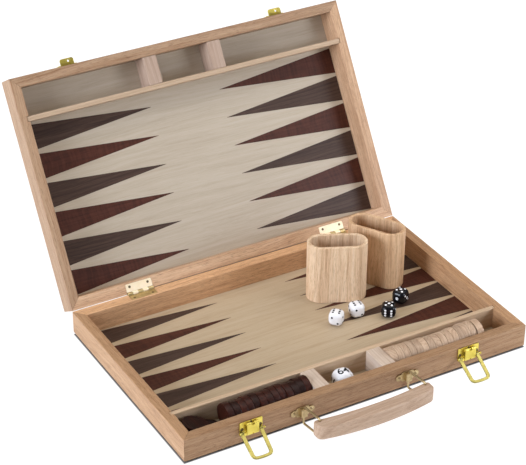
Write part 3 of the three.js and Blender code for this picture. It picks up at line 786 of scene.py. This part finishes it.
def latch_plate():
    """The back plate, narrower below, with two ears for the loop and a lug and rod for the lever."""
    outline = rounded([(-12, 12.6), (-7.4, 12.6), (-7.4, 8.4), (7.4, 8.4), (7.4, 12.6), (12, 12.6),
                       (12, 24.6), (-12, 24.6)], [1.0, 0.5, 1.2, 1.2, 0.5, 1.0, 0.9, 0.9])
    plate = prism(outline, PLATE_FRONT, PLATE_BACK, 0.2, 2, "xz")
    parts = [drilled(plate, 1.0, (-9.7, 17.2), (9.7, 17.2), (0, 23.3))]
    for side in (-1, 1):
        x = side * 4.6
        ear = block(x - 0.55, x + 0.55, LOOP_Y - 1.1, PLATE_BACK - 0.2, LOOP_Z - 1.5, LOOP_Z + 1.5, 0.3)
        parts.append(ear)
        parts.append(rod((side * 12.8, LOOP_Y, LOOP_Z), (side * 13.4, LOOP_Y, LOOP_Z), 1.4, 0.25))
    parts.append(block(-1.4, 1.4, LEVER_Y - 0.9, PLATE_BACK - 0.2, LEVER_Z - 1.6, LEVER_Z - 0.5, 0.3))
    parts.append(rod((-LEVER_HALF, LEVER_Y, LEVER_Z), (LEVER_HALF, LEVER_Y, LEVER_Z), 0.7))
    parts.append(rod((-13, LOOP_Y, LOOP_Z), (13, LOOP_Y, LOOP_Z), 0.8))
    return joined(*parts)


def latch_lever():
    """A pressed cover that hangs from two knuckles, with a notch over the middle lug and a hole below."""
    y, z = LEVER_Y, LEVER_Z
    front, back, low = y - 2.2, y - 1.15, z - 9.6
    outer = (bezier((y + 0.3, z + 1.75), (front, z + 1.9), (front, z + 0.2), 8)
             + bezier((front, low), (front, low - 1.6), (front + 1.1, low - 1.8), 6)
             + [Vector((front + 1.1, low - 1.8))])
    inner = (bezier((front + 1.3, low - 1), (back, low - 0.8), (back, low), 5)
             + [Vector((back, low)), Vector((back, z + 0.2)), Vector((y + 0.3, z + 0.6))])
    cover = prism(outer + inner, -LEVER_HALF, LEVER_HALF, 0.22, 2, "yz")
    slot = rounded(rectangle(-1.8, 1.6, z - 0.7, z + 3), [1.2, 1.2, 0, 0])
    notch = prism(slot, y - 5, y + 3, plane="xz")
    hole = rod((0, y - 6, z - 10.2), (0, y, z - 10.2), 0.75, 0.05)
    cover = carved(carved(cover, [notch]), [hole])
    knuckles = [barrel((x0, y, z), (x1, y, z), 0.8, 1.6) for x0, x1 in ((-6.2, -1.9), (1.9, 6.2))]
    return joined(cover, *knuckles)


def latch_loop():
    """The bail, drawn hanging straight down from its pivot. Its arms close in and lean a little."""
    top, low = LOOP_WIDTH / 2 - LOOP_ARM / 2, -LOOP_LENGTH + LOOP_FOOT / 2
    left, right = -top - 0.3, top - 1.5

    def stations(points, first, last):
        span = max(len(points) - 1, 1)
        return [(p.x, p.y, first + (last - first) * i / span) for i, p in enumerate(points)]

    path = [(-top, 0, LOOP_ARM), (left, low + 4.6, LOOP_ARM)]
    path += stations(bezier((left, low + 4.3), (left, low + 0.3), (left + 4, low), 7), LOOP_ARM, LOOP_FOOT)
    path += stations(bezier((left + 4, low), ((left + right) / 2, low - 0.6), (right - 4, low), 6),
                     LOOP_FOOT, LOOP_FOOT)
    path += stations(bezier((right - 4, low), (right, low + 0.3), (right, low + 4.3), 7), LOOP_FOOT, LOOP_ARM)
    path += [(right, low + 4.3, LOOP_ARM), (right, low + 4.6, LOOP_ARM), (top, 0, LOOP_ARM)]
    bar = strip(path, 1.6, 0.5)
    trim = [rod((-20, 0, 0), (20, 0, 0), 1.2, 0)]
    reach = LOOP_ARM / 2
    eyes = [barrel((x - reach, 0, 0), (x + reach, 0, 0), 1.0, 1.6, 0.3) for x in (-top, top)]
    return moved(joined(carved(bar, trim), *eyes), shift(-0.7, 0, 0))


def strike():
    """A plate on the front rail of the lid, with a tab that the loop pulls on."""
    plate_outline = rounded(rectangle(-10, 10, STRIKE_TOP - 10, STRIKE_TOP), [2.2, 2.2, 0.3, 0.3], 5)
    plate = prism(plate_outline, PLATE_FRONT, PLATE_BACK, 0.2, 2, "xz")
    plate = drilled(plate, 1.0, (-7, STRIKE_TOP - 6), (7, STRIKE_TOP - 6))
    tab_outline = rounded(rectangle(-7.5, 7.5, PLATE_BACK - 7.5, PLATE_BACK), [2.2, 2.2, 0, 0], 5)
    tab = prism(tab_outline, STRIKE_TOP - 1, STRIKE_TOP, 0.25)
    hole = rod((-1.5, PLATE_BACK - 4.6, STRIKE_TOP - 3), (-1.5, PLATE_BACK - 4.6, STRIKE_TOP + 2), 1.2, 0.05)
    return joined(plate, carved(tab, [hole]))


for word, side in SIDES.items():
    here = BASE @ shift(side * LATCH_OFFSET, 0, 0)
    there = LID @ shift(-side * LATCH_OFFSET, 0, 0)
    hang = BASE @ shift(side * LATCH_OFFSET, LOOP_Y, LOOP_Z) @ turn(LOOP_ANGLE - 90, "X")
    name = f"latch_{word}"
    piece(f"{name}_plate", latch_plate(), here, "base", LATCH_BRASS)
    piece(f"{name}_lever", latch_lever(), here, f"{word}_lever", LATCH_BRASS)
    piece(f"{name}_loop", latch_loop(), hang, f"{word}_loop", LOOP_BRASS)
    piece(f"{name}_strike", strike(), there, "lid", LATCH_BRASS)
    for i, (x, z, radius) in enumerate(((-9.7, 17.2, 1.7), (9.7, 17.2, 1.7), (-0.1, 23.3, 1.4))):
        add_screw(f"{name}_plate_screw_{i + 1}", radius, (x, PLATE_FRONT - 0.05, z), "front", here, "base",
                  SCREW_BRASS)
    for i, x in enumerate((-7, 7)):
        add_screw(f"{name}_strike_screw_{i + 1}", 1.4, (x, PLATE_FRONT - 0.05, STRIKE_TOP - 6), "front",
                  there, "lid", SCREW_BRASS)


# ---- handle ----
def bracket():
    """A plate with a round ear at each end, and a bored strap that carries the ring."""
    outline = []
    for side in (1, -1):
        outline += [(-side * 5.8, -side * 5.2), (side * 5.8, -side * 5.2), (side * 7.4, -side * 3)]
        for k in range(19):
            angle = math.radians(-120 + 240 * k / 18)
            outline.append((side * (BRACKET_SCREW + 3.5 * math.cos(angle)), side * 3.5 * math.sin(angle)))
        outline.append((side * 7.4, side * 3))
    plate = prism(outline, PLATE_FRONT, PLATE_BACK, 0.25, 2, "xz")
    plate = drilled(plate, 1.2, (-BRACKET_SCREW, 0), (BRACKET_SCREW, 0))
    front = RING_Y - RING_RADIUS - GAP - 0.9
    strap = prism(rounded([(-3.3, PLATE_BACK - 0.4), (3.3, PLATE_BACK - 0.4), (3.3, front),
                           (-3.3, front)], [0, 0, 0.7, 0.7]), -4.7, 4.7, 0.35, 3)
    bore = rod((0, RING_Y, -6), (0, RING_Y, 6), RING_RADIUS + 0.2, 0.05)
    return joined(plate, carved(strap, [bore]))


def ring():
    """Wire ring: its back on the pivot line, two arms, and tips that turn into the grip."""
    low, high, tip, bend = 1.6, 20.6, RING_REACH, 2.0
    corners = [((tip, high - bend), (tip, high), (tip - bend, high)),
               ((bend, high), (0, high), (0, high - bend)),
               ((0, low + bend), (0, low), (bend, low)),
               ((tip - bend, low), (tip, low), (tip, low + bend))]
    path = [(tip, HANDLE_TOP - 2.6)]
    for a, b, c in corners:
        path += [tuple(p) for p in bezier(a, b, c, 6)] + [c]
    path.append((tip, HANDLE_BOTTOM + 2.6))
    return wire([(u, 0, v) for u, v in path], RING_RADIUS)


def grip():
    """A bowed bar with rounded ends and a hole for each ring tip, top and bottom."""
    half = 64
    hole_y = RING_Y - RING_REACH * math.cos(RING_SWING)
    curves = [
        ((-half, 0.5), (-half + 0.4, 3.6), (-half + 5, 3.2), 6),
        ((-half + 5, 3.2), (0, -5.4), (half - 5, 3.2), 16),
        ((half - 5, 3.2), (half - 0.4, 3.6), (half, 0.5), 6),
        ((half, 0.5), (half, -2.5), (half, -5.5), 2),
        ((half, -5.5), (half - 0.6, -8.4), (half - 5, -10), 6),
        ((half - 5, -10), (0, -21.5), (-half + 5, -10), 16),
        ((-half + 5, -10), (-half + 0.6, -8.4), (-half, -5.5), 6),
        ((-half, -5.5), (-half, -2.5), (-half, 0.5), 2),
    ]
    outline = [p + Vector((0, hole_y)) for curve in curves for p in bezier(*curve)]
    bar = prism(outline, HANDLE_BOTTOM, HANDLE_TOP, 1.8, 5)
    holes = []
    for side in (-1, 1):
        x = side * BRACKET_SPACING / 2
        holes.append(rod((x, hole_y, HANDLE_TOP - 3.2), (x, hole_y, HANDLE_TOP + 2), 1.55, 0.1))
        holes.append(rod((x, hole_y, HANDLE_BOTTOM - 2), (x, hole_y, HANDLE_BOTTOM + 3.2), 1.55, 0.1))
    return carved(bar, holes)


for word, side in SIDES.items():
    centre = BRACKET_CENTRE + side * BRACKET_SPACING / 2
    here = BASE @ shift(centre, 0, BRACKET_HEIGHT)
    name = f"handle_{word}"
    piece(f"{name}_bracket", bracket(), here, "base", DULL_BRASS)
    swing = BASE @ shift(centre, RING_Y, 0) @ Matrix.Rotation(RING_SWING - math.pi / 2, 4, "Z")
    piece(f"{name}_ring", ring(), swing, f"{word}_ring", DULL_BRASS)
    for i, x in enumerate((-BRACKET_SCREW, BRACKET_SCREW)):
        add_screw(f"{name}_screw_{i + 1}", 1.7, (x, PLATE_FRONT - 0.05, 0), "front", here, "base",
                  DULL_BRASS)
piece("handle_grip", grip(), BASE @ shift(HANDLE_CENTRE, 0, 0), "grip", HANDLE_WOOD,
      along("x"))


# ---- dice cups ----
def cup():
    """Rings of (inset, height) from the underside up the outside, over the rim and down to the floor."""
    wall = 3.6
    levels = [(6, 0), (1.2, 0), (0.35, 0.25), (0, 1.0), (0, CUP_HEIGHT - 0.9), (0.25, CUP_HEIGHT - 0.3),
              (0.8, CUP_HEIGHT), (wall - 0.8, CUP_HEIGHT), (wall - 0.25, CUP_HEIGHT - 0.3),
              (wall, CUP_HEIGHT - 0.9), (wall, 6.5), (wall + 0.7, 5), (wall + 2.2, 4.2), (wall + 4, 4)]
    rings = [[(p.x, p.y, z) for p in stadium(CUP_LENGTH - 2 * inset, CUP_WIDTH - 2 * inset)]
             for inset, z in levels]
    return faces_between(bmesh.new(), rings)


for name, x, y, angle in (("dice_cup_left", 73.5, 47.2, -25.3), ("dice_cup_right", 126.2, 55.4, -58.4)):
    place = BASE @ shift(x, y, BOARD_TOP - 0.25) @ turn(angle, "Z")
    piece(name, cup(), place, "base", CUP_WOODS[name], along("z", 0.6))


# ---- dice ----
PIPS = {1: [(0, 0)], 2: [(-1, 1), (1, -1)], 3: [(-1, 1), (0, 0), (1, -1)],
        4: [(-1, -1), (-1, 1), (1, -1), (1, 1)], 5: [(-1, -1), (-1, 1), (0, 0), (1, -1), (1, 1)],
        6: [(-1, -1), (-1, 0), (-1, 1), (1, -1), (1, 0), (1, 1)]}
FACES = {"top": Matrix.Identity(4), "bottom": turn(180, "X"), "front": turn(90, "X"),
         "back": turn(-90, "X") @ turn(180, "Z"), "left": turn(-90, "Z") @ turn(90, "X"),
         "right": turn(90, "Z") @ turn(90, "X")}


def die(numbers):
    """A die whose pips are shallow dishes. numbers gives the count on each face."""
    cube = rounded_cube(DIE, DIE_ROUNDING)
    core = DIE / 2 - DIE_ROUNDING
    cutters = []
    for face, number in numbers.items():
        dish, depth = (3.2, 0.36) if number > 1 else (3.6, 0.46)
        for u, v in PIPS[number]:
            inner = Vector((max(-core, min(core, u * 3.1)), max(-core, min(core, v * 3.1)), core))
            out = Vector((u * 3.1 - inner.x, v * 3.1 - inner.y, 0))
            out.z = math.sqrt(DIE_ROUNDING ** 2 - out.length_squared)
            centre = FACES[face] @ (inner + out.normalized() * (DIE_ROUNDING + dish - depth))
            ball = bmesh.new()
            bmesh.ops.create_icosphere(ball, subdivisions=3, radius=dish, matrix=Matrix.Translation(centre))
            cutters.append(ball)
    return carved(cube, cutters, mark=1)


PLASTICS = {"white": (WHITE_PLASTIC, PIP_BLACK), "black": (BLACK_PLASTIC, PIP_WHITE)}
DICE = [("white_die_left", 46.9, 3.1, -45, (6, 2, 3)), ("white_die_right", 72.3, 5.8, -9, (6, 2, 3)),
        ("black_die_left", 100.2, -11, -37, (5, 6, 3)), ("black_die_right", 124.8, 4.9, 27, (5, 3, 1))]
for name, x, y, angle, (top, front, left) in DICE:
    numbers = {"top": top, "bottom": 7 - top, "front": front, "back": 7 - front,
               "left": left, "right": 7 - left}
    colour = name.split("_")[0]
    place = BASE @ shift(x, y, BOARD_TOP + DIE / 2 - 0.25) @ turn(angle, "Z")
    piece(name, die(numbers), place, "base", list(PLASTICS[colour]), sharp=50)


# ---- doubling die ----
def number_mesh(text, size=12):
    """Printed digits as a flat mesh about the origin, fine enough to bend."""
    curve = bpy.data.curves.new("digits", "FONT")
    curve.body = text
    curve.size = size
    curve.offset = 0.008 * size
    bm = evaluated(added("digits", curve))
    bpy.data.curves.remove(curve)
    ends = [[edge(v.co[i] for v in bm.verts) for i in range(2)] for edge in (min, max)]
    middle = [-(low + high) / 2 for low, high in zip(*ends)]
    bmesh.ops.translate(bm, verts=bm.verts, vec=(*middle, 0))
    for _ in range(2):
        long = [e for e in bm.edges if e.calc_length() > 0.6]
        bmesh.ops.subdivide_edges(bm, edges=long, cuts=1)
        bmesh.ops.triangulate(bm, faces=bm.faces)
    return bm


def on_die(bm, size, radius):
    """Lifts flat digits onto the top of a rounded cube, following its rounded edges."""
    core = size / 2 - radius
    for vert in bm.verts:
        dx = max(abs(vert.co.x) - core, 0)
        dy = max(abs(vert.co.y) - core, 0)
        vert.co.z = core + math.sqrt(max(radius ** 2 - dx ** 2 - dy ** 2, 0.1)) + 0.04
    return bm


place = BASE @ shift(-5.2, -92.6, BOARD_TOP + DOUBLING_DIE / 2 - 0.25) @ turn(-5, "Z")
piece("doubling_die", rounded_cube(DOUBLING_DIE, DOUBLING_ROUNDING, 10), place, "base",
      WHITE_PLASTIC, sharp=50)
NUMBERS = {"top": "64", "left": "16", "front": "32", "right": "2", "back": "8", "bottom": "4"}
for face, text in NUMBERS.items():
    digits = moved(on_die(number_mesh(text), DOUBLING_DIE, DOUBLING_ROUNDING), FACES[face])
    piece(f"doubling_die_{text}", digits, place, "base", PIP_BLACK, nodes=(), sharp=80)


# ---- checkers ----
def checker():
    """A turned disc along X from 0, with rounded edges and a shallow ring in each face."""
    r, t, e = CHECKER_RADIUS, CHECKER - 0.12, 1.0
    half = [(0, 0.35), (r - 4.2, 0.35), (r - 3.6, 0.25), (r - 3.0, 0), (r - e, 0), (r - 0.25, 0.2), (r, e)]
    profile = half + [(x, t - h) for x, h in reversed(half)]
    return turned(profile, (0, 0, 0), (1, 0, 0), 56)


MIDDLE_Y = (-INNER_Y + DIVIDER_FRONT) / 2
ROW_EDGE = BLOCK_OFFSET + BLOCK / 2 + GAP
STANDING = BOARD_TOP - 0.2 + CHECKER_RADIUS
ROWS = [("dark", -1, 13, DARK_CHECKERS, (1.2, -0.6, 0.9, -1.0, 0.4, -1.3, 0)),
        ("light", 1, 14, LIGHT_CHECKERS, (0.8, 0.8, -0.2, -1.2, -1.2, -0.4, 1.0))]
for word, side, count, woods, offsets in ROWS:
    for i in range(count):
        near = ROW_EDGE + i * CHECKER
        x = near if side > 0 else -near - CHECKER + GAP / 2
        lean = draw.uniform(-1.2, 1.2)
        pair = 2 * (i // 2) + 1
        node = f"{word}_checker_{pair}" if pair == count else f"{word}_checkers_{pair}_{pair + 1}"
        y = MIDDLE_Y + offsets[i // 2] + draw.uniform(-0.35, 0.35)
        spot = (BASE @ shift(x + CHECKER / 2, y, STANDING) @ turn(lean, "Z")
                @ turn(draw.uniform(0, 360), "X") @ shift(-CHECKER / 2, 0, 0))
        piece(f"{word}_checker_{i + 1}", checker(), spot, "base",
              draw.choice(woods), along("y", 0.7), [node])
# The two loose dark checkers take the darkest checker tone, a painted shade for the shaded left end of their
# compartment.
LOOSE = [("light_checker_15", 144.4, STANDING + 0.1, -4, LIGHT_CHECKERS[0]),
         ("dark_checker_14", -152, BOARD_TOP, -90, DARK_CHECKERS[1]),
         ("dark_checker_15", -166.2, BOARD_TOP + CHECKER + 3.1, -78, DARK_CHECKERS[1])]
for name, x, z, angle, material in LOOSE:
    piece(name, checker(), BASE @ shift(x, MIDDLE_Y, z) @ turn(angle, "Y"), "base",
          material, along("y", 0.7))

for blank in blank_materials:
    bpy.data.materials.remove(blank)
for master in MASTERS.values():
    master.free()


# ---- floor ----
def make_floor():
    """A plain floor. It glows white, but not under the case, which leaves a thin painted contact shadow along
    its foot, nor in a band behind the hinge, a painted shadow of the lid.
    """
    look = Look(bpy.data.materials.new("floor"))
    spot = look.add("ShaderNodeTexCoord").outputs["Object"]
    cloud = look.noise(spot, (3, 3, 3), 3.0).outputs[0]
    colour = look.mix(cloud, (0.19, 0.19, 0.19), (0.21, 0.21, 0.21))
    sides = look.add("ShaderNodeSeparateXYZ", {"Vector": spot}).outputs

    def outside(**spans):
        """How far a spot is outside a rectangle given by its span along X and along Y."""
        over = []
        for axis, (low, high) in spans.items():
            away = look.maths("ABSOLUTE", look.maths("SUBTRACT", sides[axis], (low + high) / 2 * MM))
            over.append(look.maths("SUBTRACT", away, (high - low) / 2 * MM))
        return look.maths("MAXIMUM", *over)

    # Painted shadows: the glow fades off at the foot of the case into a thin contact shadow, and is off in a
    # band behind the hinge as the lid's shadow.
    under_tray = outside(X=(-LENGTH / 2, LENGTH / 2), Y=(-DEPTH / 2, DEPTH / 2))
    behind_hinge = outside(X=(-105, 178), Y=(DEPTH / 2 - 3, DEPTH / 2 + 50))
    outside_painted_shadows = look.maths("MINIMUM", under_tray, look.total((behind_hinge, 0.1)))
    glow = look.ramp(look.total((outside_painted_shadows, 100.0), start=0.5), [(0.48, 0.0), (0.60, 0.92)])
    look.finish({"Base Color": colour, "Roughness": 0.7, "Specular IOR Level": 0.2,
                 "Emission Color": (1, 1, 1, 1), "Emission Strength": glow})
    bm = bmesh.new()
    bmesh.ops.create_grid(bm, x_segments=8, y_segments=8, size=14)
    floor = added("floor", finished(bm, "floor", [look.owner]))
    floor.location.z = -0.0003


make_floor()


# ---- light ----
def softbox(name, position, target, size, power, colour):
    lamp = bpy.data.lights.new(name, "AREA")
    lamp.shape = "RECTANGLE"
    lamp.size, lamp.size_y = size
    lamp.energy = power
    lamp.color = colour
    one = added(name, lamp)
    one.location = position
    one.rotation_euler = (Vector(target) - Vector(position)).to_track_quat("-Z", "Y").to_euler()


softbox("key_left", (-2.6, -0.3, 1.0), (0, 0, 0.1), (1.2, 1.2), 70, (0.92, 1.0, 1.14))
softbox("overhead", (0.0, 0.2, 2.4), (0, 0, 0), (2.2, 2.0), 28, (1.05, 1.0, 0.93))
softbox("high_right", (1.9, -0.2, 2.3), (0.1, 0, 0), (1.2, 1.6), 17, (1.02, 1.0, 0.97))
softbox("near_right", (0.85, -0.75, 0.4), (0.1, 0, 0.05), (0.5, 0.4), 6.2, (0.95, 1.0, 1.1))
world = bpy.data.worlds.new("studio")
bpy.context.scene.world = world
sky = Look(world)
direction = sky.add("ShaderNodeSeparateXYZ", {"Vector": sky.add("ShaderNodeTexCoord").outputs["Generated"]})
glow = sky.ramp(sky.total((direction.outputs["Z"], 1.0), start=0.5), [(0.62, 0.92), (0.72, 0.1)])
background = sky.add("ShaderNodeBackground", {"Color": glow})
sky.add("ShaderNodeOutputWorld", {"Surface": background.outputs[0]})
bpy.context.scene.view_settings.view_transform = "Standard"

# ---- camera ----
camera_data = bpy.data.cameras.new("camera")
camera_data.sensor_width = 36
camera_data.sensor_fit = "HORIZONTAL"
camera_data.lens = 129.74
camera_data.shift_x = 0.0838
camera_data.shift_y = 0.0373
camera_data.clip_start = 0.05
camera_data.clip_end = 30
camera = added("camera", camera_data)
right = Vector((0.87751, -0.47952, -0.00618))
up = Vector((0.25985, 0.46461, 0.84653))
back = right.cross(up)
camera.matrix_world = Matrix.Translation((-0.80757, -1.32806, 1.0805)) @ Matrix(
    (right, up, back)).transposed().to_4x4()
bpy.context.scene.camera = camera
